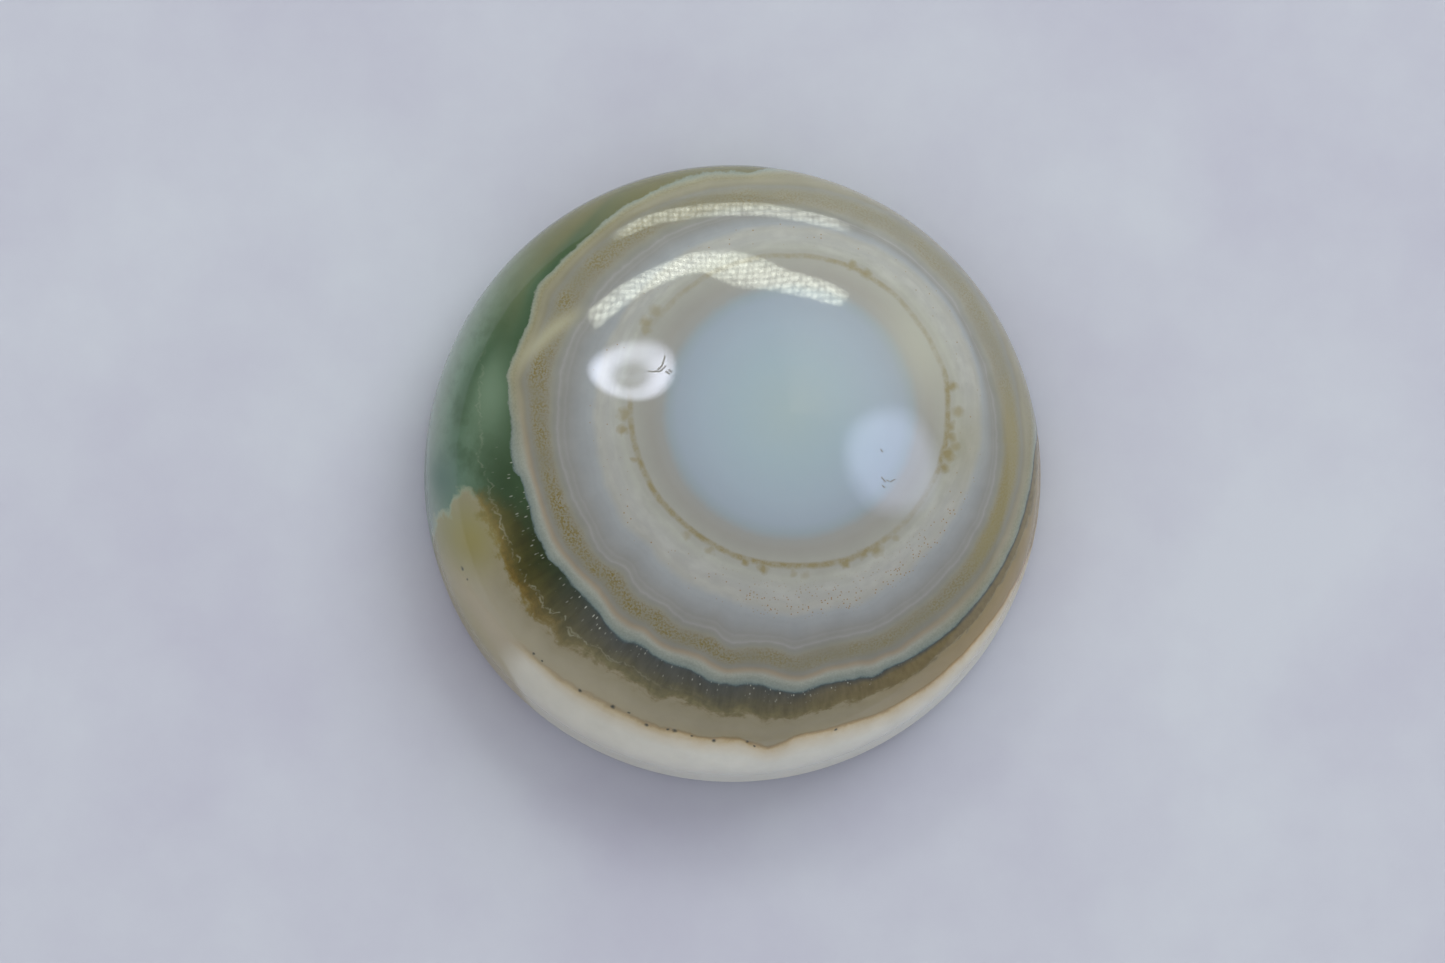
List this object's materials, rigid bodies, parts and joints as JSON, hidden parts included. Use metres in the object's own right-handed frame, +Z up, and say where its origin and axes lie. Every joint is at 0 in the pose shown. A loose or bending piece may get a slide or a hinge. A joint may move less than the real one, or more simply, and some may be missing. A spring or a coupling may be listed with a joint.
{
  "type": "round cabochon",
  "caption": "Round domed ocean jasper cabochon: a polished banded stone with a short girdle wall and a flat, bevelled base to rest or be set on.",
  "frame": {"origin": "middle of the flat base", "axes": "+Z up through the crown of the dome; the orb's pale blue heart sits towards +X and +Y, the cream layer towards -Y, the green towards -X"},
  "size_m": [0.014, 0.014, 0.0047],
  "materials": {
    "jasper": "polished"
  },
  "bodies": {
    "root": {"cabochon": "jasper"}
  },
  "joints": []
}
